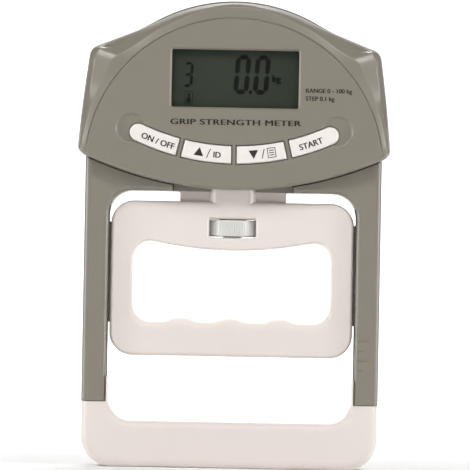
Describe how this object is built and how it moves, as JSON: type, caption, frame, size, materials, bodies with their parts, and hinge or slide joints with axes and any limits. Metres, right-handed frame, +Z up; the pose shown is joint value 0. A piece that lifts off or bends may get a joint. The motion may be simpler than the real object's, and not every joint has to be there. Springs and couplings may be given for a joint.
{
  "type": "hand dynamometer",
  "caption": "Grip-strength meter: display head on two legs, fixed palm bar, and a finger grip with finger grooves that a thumbwheel raises and lowers on a threaded rod.",
  "frame": {"origin": "middle of the bounding box at the bottom of the palm bar, where the instrument stands", "axes": "+Z up from the palm bar to the display head, -Y out of the display, +X to the right as the display is read"},
  "size_m": [0.1278, 0.031, 0.1914],
  "materials": {
    "grey_shell": "fine-grained moulded ABS, warm grey",
    "white_shell": "moulded ABS, satin, pinkish off-white",
    "key_cap": "moulded ABS, satin, off-white, printed",
    "screw_steel": "zinc-plated steel",
    "wheel_metal": "satin nickel-plated, straight knurl",
    "brass": "turned",
    "beam_aluminium": "milled",
    "gauge_foil": "polyimide film",
    "display": "reflective liquid crystal display, dark grey-green",
    "lens": "clear acrylic",
    "black_rubber": "silicone rubber",
    "board": "solder mask, green",
    "black_plastic": "epoxy and PVC",
    "lead_insulation": "PVC, red",
    "cell_sleeve": "printed shrink sleeve, plain",
    "contact_steel": "nickel-plated spring steel"
  },
  "bodies": {
    "housing": {"head_cover": "grey_shell", "rear_housing": "grey_shell", "leg_cover_left": "grey_shell", "leg_cover_right": "grey_shell", "base_front": "white_shell", "base_rear": "white_shell", "display_holder": "white_shell", "head_screw_left_1": "screw_steel", "head_screw_right_1": "screw_steel", "head_screw_left_2": "screw_steel", "head_screw_right_2": "screw_steel", "leg_screw_left": "screw_steel", "leg_screw_right": "screw_steel", "base_screw_left": "screw_steel", "base_screw_right": "screw_steel", "board_screw_left": "screw_steel", "board_screw_right": "screw_steel", "beam_screw_left": "screw_steel", "beam_screw_right": "screw_steel", "tension_rod": "screw_steel", "rod_nut_upper": "screw_steel", "rod_nut_lower": "screw_steel", "load_beam": "beam_aluminium", "strain_gauge_left": "gauge_foil", "strain_gauge_right": "gauge_foil", "display_glass": "display", "display_lens": "lens", "contact_strip_lower": "black_rubber", "contact_strip_upper": "black_rubber", "keypad": "black_rubber", "circuit_board": "board", "controller_chip": "black_plastic", "battery_lead_black": "black_plastic", "gauge_lead_left": "lead_insulation", "gauge_lead_right": "lead_insulation", "battery_lead_red": "lead_insulation", "battery_cell_lower": "cell_sleeve", "battery_cell_upper": "cell_sleeve", "battery_contact_bridge": "contact_steel", "battery_contact_plus": "contact_steel", "battery_contact_minus": "contact_steel"},
    "grip": {"grip_front": "white_shell", "grip_rear": "white_shell", "grip_screw_left_1": "screw_steel", "grip_screw_right_1": "screw_steel", "grip_screw_left_2": "screw_steel", "grip_screw_right_2": "screw_steel"},
    "thumbwheel": {"thumbwheel": "wheel_metal", "wheel_sleeve": "brass", "wheel_washer_lower": "screw_steel", "wheel_washer_upper": "screw_steel"},
    "battery_door": {"battery_door": "grey_shell"},
    "button_on": {"button_on": "key_cap"},
    "button_up": {"button_up": "key_cap"},
    "button_down": {"button_down": "key_cap"},
    "button_start": {"button_start": "key_cap"}
  },
  "joints": [
    {"name": "grip_slide", "type": "slide", "parent": "housing", "child": "grip", "axis": [0, 0, 1], "range_m": [-0.009, 0.003]},
    {"name": "thumbwheel_turn", "type": "hinge", "parent": "grip", "child": "thumbwheel", "pos_m": [0, 0.003, 0.098], "axis": [0, 0, 1], "range_deg": [-2594, 866]},
    {"name": "battery_door_hinge", "type": "hinge", "parent": "housing", "child": "battery_door", "pos_m": [0, 0.0153, 0.15], "axis": [-1, 0, 0], "range_deg": [0, 75]},
    {"name": "button_on_press", "type": "slide", "parent": "housing", "child": "button_on", "axis": [0, 1, 0], "range_m": [0, 0.0008], "stiffness_N_per_m": 1500},
    {"name": "button_up_press", "type": "slide", "parent": "housing", "child": "button_up", "axis": [0, 1, 0], "range_m": [0, 0.0008], "stiffness_N_per_m": 1500},
    {"name": "button_down_press", "type": "slide", "parent": "housing", "child": "button_down", "axis": [0, 1, 0], "range_m": [0, 0.0008], "stiffness_N_per_m": 1500},
    {"name": "button_start_press", "type": "slide", "parent": "housing", "child": "button_start", "axis": [0, 1, 0], "range_m": [0, 0.0008], "stiffness_N_per_m": 1500}
  ],
  "couplings": [
    {"joint": "thumbwheel_turn", "follows": "grip_slide", "rad_per_m": 5026.5}
  ]
}
